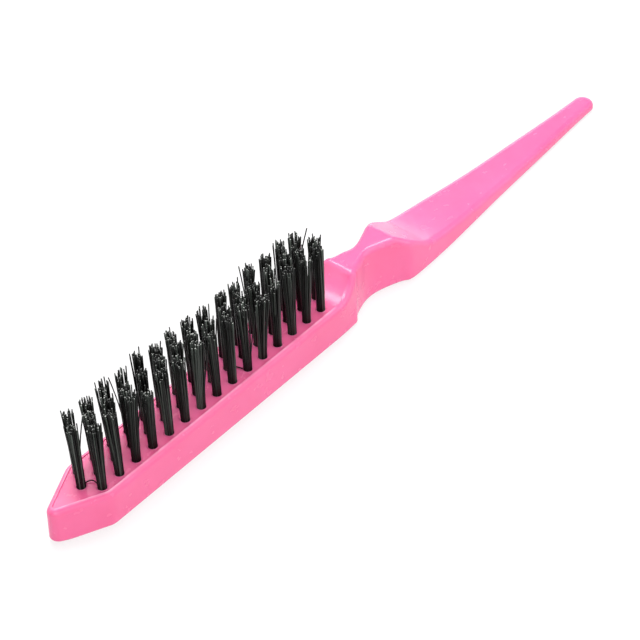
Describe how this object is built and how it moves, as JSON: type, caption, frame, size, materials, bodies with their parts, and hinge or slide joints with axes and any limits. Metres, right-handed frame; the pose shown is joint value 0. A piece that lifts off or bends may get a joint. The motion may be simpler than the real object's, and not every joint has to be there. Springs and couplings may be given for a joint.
{
  "type": "teasing brush",
  "caption": "Back-combing brush moulded in one piece with a slim tail handle, with staggered rows of short dark bristle tufts held in drilled holes.",
  "frame": {"origin": "under the middle of the brush, on the flat back that it lies on", "axes": "+X along the brush from the nose of the head to the tip of the tail, +Z along the bristles"},
  "size_m": [0.2249, 0.017, 0.0316],
  "materials": {
    "handle": "glossy pink moulded plastic",
    "bristles": "dark nylon filaments with a soft sheen",
    "anchor_wire": "flat drawn wire"
  },
  "bodies": {
    "root": {"handle_body": "handle", "tuft_front_01": "bristles", "tuft_front_02": "bristles", "tuft_front_03": "bristles", "tuft_front_04": "bristles", "tuft_front_05": "bristles", "tuft_front_06": "bristles", "tuft_front_07": "bristles", "tuft_front_08": "bristles", "tuft_front_09": "bristles", "tuft_front_10": "bristles", "tuft_front_11": "bristles", "tuft_front_12": "bristles", "tuft_front_13": "bristles", "tuft_front_14": "bristles", "tuft_front_15": "bristles", "tuft_middle_01": "bristles", "tuft_middle_02": "bristles", "tuft_middle_03": "bristles", "tuft_middle_04": "bristles", "tuft_middle_05": "bristles", "tuft_middle_06": "bristles", "tuft_middle_07": "bristles", "tuft_middle_08": "bristles", "tuft_middle_09": "bristles", "tuft_middle_10": "bristles", "tuft_middle_11": "bristles", "tuft_middle_12": "bristles", "tuft_middle_13": "bristles", "tuft_middle_14": "bristles", "tuft_middle_15": "bristles", "tuft_middle_16": "bristles", "tuft_back_01": "bristles", "tuft_back_02": "bristles", "tuft_back_03": "bristles", "tuft_back_04": "bristles", "tuft_back_05": "bristles", "tuft_back_06": "bristles", "tuft_back_07": "bristles", "tuft_back_08": "bristles", "tuft_back_09": "bristles", "tuft_back_10": "bristles", "tuft_back_11": "bristles", "tuft_back_12": "bristles", "tuft_back_13": "bristles", "tuft_back_14": "bristles", "tuft_back_15": "bristles", "tuft_anchors": "anchor_wire"}
  },
  "joints": []
}
